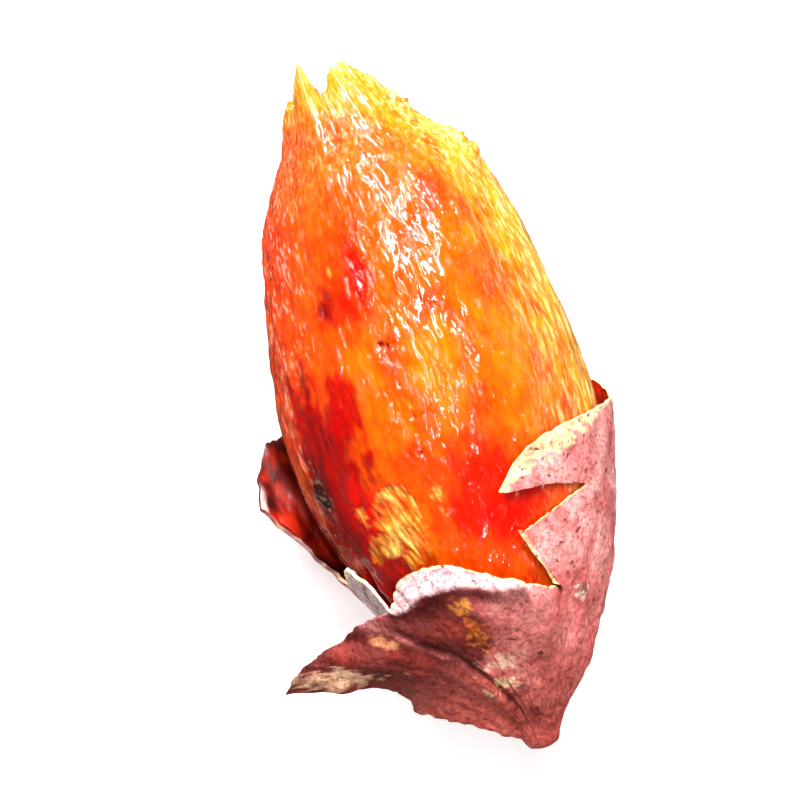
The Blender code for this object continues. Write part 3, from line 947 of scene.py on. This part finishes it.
def makeSkin(materials):
    piece, column, ring, facts = skinShape()
    mesh = piece.data
    points = readCoords(mesh)
    points = points + readNormals(mesh) * skinRelief(points, facts)[:, None]
    points[:, 2] = np.maximum(points[:, 2], 0)
    writeCoords(mesh, points)
    writeColours(mesh, "outsideColour", paintOutside(points, facts))
    writeColours(mesh, "insideColour", paintInside(points, facts))
    writeColours(mesh, "edgeColour", paintEdge(points, facts))
    writeValues(mesh, "toRim", facts["toRim"])
    deleteParts(mesh, "VERT", ring > skin["rings"])
    openTear(mesh)

    for material in materials:
        mesh.materials.append(material)
    wall = piece.modifiers.new("wall", "SOLIDIFY")
    wall.thickness = skin["wall"]
    wall.offset = -1
    wall.material_offset = 1
    wall.material_offset_rim = 2
    bpy.ops.object.modifier_apply(modifier="wall")
    bpy.ops.object.shade_smooth_by_angle(angle=math.radians(50))
    finishPiece(piece, None, "skin")
    print("skin made:", len(mesh.polygons), "faces")


skinColours = {
    "plain": (224, 140, 134),
    "red": (196, 92, 92),
    "pale": (240, 178, 172),
    "lower": (210, 98, 90),
    "tail": (164, 60, 48),
    # the long flap's colours: its own burgundy, darkened further as painted shade
    "longFlap": (94, 18, 10),
    "flapBlotch": (142, 42, 30),
    "flapEdge": (206, 96, 84),
    # the rolled band: its paler turned-out skin, lightened further as painted light on its upper face
    "band": (232, 196, 198),
    # painted shade under the rolled band
    "shadeUnderBand": (84, 18, 16),
    # painted shade in the long flap's hinge crease
    "hinge": (70, 12, 9),
    "strip": (242, 222, 220),
    "paleRim": (244, 222, 164),
    "syrup": (170, 30, 4),
    "darkSyrup": (92, 8, 4),
    "char": (40, 8, 8),
    "rolledRim": (226, 180, 178),
    # painted light: a lighter tone against the shade in the upper flap's corner
    "corner": (214, 96, 40),
    "edge": (236, 200, 140),
    "burntEdge": (96, 34, 26),
    "stripEdge": (240, 214, 208),
    "flapRim": (104, 38, 28),
}


def paintOutside(points, facts):
    start, height, toRim, band = (facts[name] for name in ("start", "height", "toRim", "band"))
    blotch = noiseAt(points, (8 * mm, 12 * mm, 8 * mm), 41, 4)
    fine = noiseAt(points, (1.8 * mm,) * 3, 42, 4)
    colours = layNamed(tone(*skinColours["plain"]), skinColours, {
        "red": ease(blotch + 0.3),
        "pale": ease(-blotch + 0.1) * 0.7,
        "lower": ease((40 * mm - height) / (10 * mm)) * 0.65,
        "tail": ease((22 * mm - height) / (20 * mm)) * 0.8,
    })

    # painted shade: the long flap is painted dark, partly its own burgundy and partly the shade it lies in as
    # it faces away from the light, and the skin beside its hinge is painted dark as the shade under the
    # rolled band
    longFlap = stripsBetween(start, 262, 342, 20, 8)
    shadeBesideHinge = stripsBetween(start, 334, 343 + 13 * ease((height - 20 * mm) / (8 * mm)), 6, 4)
    dark = np.maximum(longFlap, shadeBesideHinge * ease((toRim - band) / (1.5 * mm) + 0.5))
    flapTone = layNamed(tone(*skinColours["longFlap"]), skinColours, {
        "flapBlotch": ease(blotch * 0.9 + 0.1),
        "flapEdge": ease((27 * mm - height) / (13 * mm)) * 0.75,
    })
    colours = layOver(colours, flapTone, dark * 0.92)

    # the band's pale colour: partly its own turned-out skin, partly painted light on its upper face
    onBand = ease((band - toRim) / (0.8 * mm) + 0.5) * (band > 0.3 * mm)
    # painted shade on the roll's lower side, which faces away from the light
    shadeUnderBand = np.exp(-(((toRim - band) / (2.4 * mm) - 0.9) ** 2)) * (band > 1 * mm)
    # painted shade: a dark line down the hinge crease
    hinge = np.exp(-(((start - skin["hingeAt"] - 0.5 + 3 * blotch) / 1.3) ** 2))
    strip = stripsBetween(start, 256, 272, 3, 3) * ease((height - 30 * mm) / (5 * mm))
    colours = layNamed(colours, skinColours, {
        "band": onBand * (0.85 + 0.3 * fine),
        "shadeUnderBand": shadeUnderBand * 0.75,
        "hinge": hinge * ease((38 * mm - height) / (6 * mm)) * 0.8,
        "strip": strip * 0.95,
    })

    wobble = noiseAt(points, (1.5 * mm,) * 3, 44, 4)
    for mark in skinMarks:
        share = nearSpot(facts["angle"], height, {"soft": 0.35, **mark}, wobble)
        colours = layOver(colours, tone(*mark["colour"]), share * 0.85)
    for mark in longFlapMarks:
        across, along = mark["across"], mark["along"]
        dx = (points[:, 0] - mark["x"] * mm) / (across * mm)
        dy = (height - mark["height"] * mm) / (along * mm) + mark["lean"] * dx * across / along
        share = ease((1 - np.sqrt(dx**2 + dy**2) - 0.9 * wobble) / 0.3) * longFlap
        colours = layOver(colours, tone(*mark["colour"]), share * 0.9)
    paleWidth = facts["pale"] * (1 + 0.8 * fine + 0.5 * wobble)
    colours = layNamed(colours, skinColours, {"paleRim": ease((paleWidth - toRim) / (0.4 * mm) + 0.5)})
    return colours * skin["tint"]


def paintInside(points, facts):
    start, toRim = facts["start"], facts["toRim"]
    blotch = noiseAt(points, (5 * mm,) * 3, 43, 4)
    charred = stripsBetween(start, 226, 262, 6, 6) * ease((12 * mm - toRim) / (8 * mm))
    rolled = stripsBetween(start, 241, 250, 2, 2) * ease((1.8 * mm - toRim) / (0.8 * mm))
    # painted light: the inner face at the upper flap's corner is painted lighter against the shade that falls
    # there
    corner = stripsBetween(start, 84, 100, 4, 4) * ease((5 * mm - toRim) / (3 * mm))
    return layNamed(tone(*skinColours["syrup"]), skinColours, {
        "darkSyrup": ease(blotch + 0.5),
        "char": charred * ease(0.8 + blotch) * 0.92,
        "rolledRim": rolled * ease(0.8 + blotch),
        "corner": corner * 0.9,
    })


def paintEdge(points, facts):
    start = facts["start"]
    fine = noiseAt(points, (2 * mm,) * 3, 45, 3)
    return layNamed(tone(*skinColours["edge"]), skinColours, {
        "burntEdge": stripsBetween(start, 225, 256, 8, 4) * ease(1.3 + fine),
        "stripEdge": stripsBetween(start, 254, 273, 3, 3),
        "flapRim": stripsBetween(start, 290, 346, 4, 4) * 0.95,
    })


studio = {
    "middle": Vector((-6.3 * mm, 5.6 * mm, 29 * mm)),
    "viewWidth": 176 * mm,
    "lens": 200.0,
    "sensor": 36.0,
    "overhead": 0.1,
    "horizon": 0.3,
    "below": 0.25,  # share of the horizon's light that comes from under it
    "floorGlow": 0.6,
    # soft boxes: the two ends of each, its width in metres, and watts
    "boxes": {
        "keyStrip": {"ends": ((0.02, 0.56, 0.15), (0.11, 0.14, 0.59)), "width": 0.06, "power": 9.6},
        "nextStrip": {"ends": ((-0.10, 0.50, 0.34), (-0.02, 0.24, 0.58)), "width": 0.016, "power": 1.2},
        "sparkBox": {"ends": ((0.30, 0.33, 0.37), (0.30, 0.41, 0.37)), "width": 0.05, "power": 0.9},
        "leftSpark": {"ends": ((-0.24, 0.22, 0.52), (-0.22, 0.27, 0.50)), "width": 0.03, "power": 0.25},
        "fillStrip": {"ends": ((-0.10, -0.42, 0.50), (0.14, -0.42, 0.50)), "width": 0.03, "power": 1.3},
        "topSpark": {"ends": ((0.07, -0.10, 0.70), (0.05, 0.06, 0.70)), "width": 0.03, "power": 0.9},
        "rightStrip": {"ends": ((0.52, -0.20, 0.20), (0.52, 0.20, 0.20)), "width": 0.03, "power": 0.4},
    },
}


def addBox(name, box):
    first, second = (Vector(end) for end in box["ends"])
    lamp = bpy.data.objects.new(name, bpy.data.lights.new(name, "AREA"))
    lamp.data.shape = "RECTANGLE"
    lamp.data.size = box["width"]
    lamp.data.size_y = (second - first).length
    lamp.data.energy = box["power"]
    lamp.location = (first + second) / 2
    back = (lamp.location - studio["middle"]).normalized()
    side = (second - first).cross(back).normalized()
    lamp.rotation_euler = Matrix((side, back.cross(side), back)).transposed().to_euler()
    lamp.visible_camera = False
    bpy.context.collection.objects.link(lamp)


def makeStudio():
    deselectAll()
    bpy.ops.mesh.primitive_plane_add(size=6)
    floor = bpy.context.object
    floor.name = "floor"
    material, tree, surface = startMaterial("paleFloor")
    setInputs(surface, Roughness=0.9)
    surface.inputs["Base Color"].default_value = (0.62, 0.62, 0.62, 1)
    surface.inputs["Emission Color"].default_value = (1, 1, 1, 1)
    surface.inputs["Emission Strength"].default_value = studio["floorGlow"]
    floor.data.materials.append(material)
    floor.visible_glossy = False  # the wet flesh would mirror it as a haze

    world = bpy.data.worlds.new("studio")
    world.use_nodes = True
    tree = world.node_tree
    place = addNode(tree, "ShaderNodeTexCoord")
    split = addNode(tree, "ShaderNodeSeparateXYZ")
    tree.links.new(place.outputs["Generated"], split.inputs["Vector"])
    above = rangeNode(tree, split.outputs["Z"], 0.06, 0.3, studio["horizon"], studio["overhead"])
    below = rangeNode(tree, split.outputs["Z"], -0.03, 0.03, studio["below"], 1.0)
    strength = addNode(tree, "ShaderNodeMath", operation="MULTIPLY")
    tree.links.new(above, strength.inputs[0])
    tree.links.new(below, strength.inputs[1])
    tree.links.new(strength.outputs["Value"], tree.nodes["Background"].inputs["Strength"])
    tree.nodes["Background"].inputs["Color"].default_value = (1, 1, 1, 1)
    bpy.context.scene.world = world

    for name, box in studio["boxes"].items():
        addBox(name, box)

    camera = bpy.data.cameras.new("camera")
    camera.lens = studio["lens"]
    camera.sensor_width = studio["sensor"]
    eye = bpy.data.objects.new("camera", camera)
    far = studio["viewWidth"] * studio["lens"] / studio["sensor"]
    eye.location = studio["middle"] + Vector((0, 0, far))
    eye.rotation_euler = Matrix.Rotation(-axisAngle, 3, "Z").to_euler()
    bpy.context.collection.objects.link(eye)
    bpy.context.scene.camera = eye
    bpy.context.scene.view_settings.view_transform = "Standard"
    print("studio made")


makeStudio()
makeFlesh(makeWetFlesh())
makeSkin([makeDrySkin(), makeSkinInside(), makeTornEdge()])
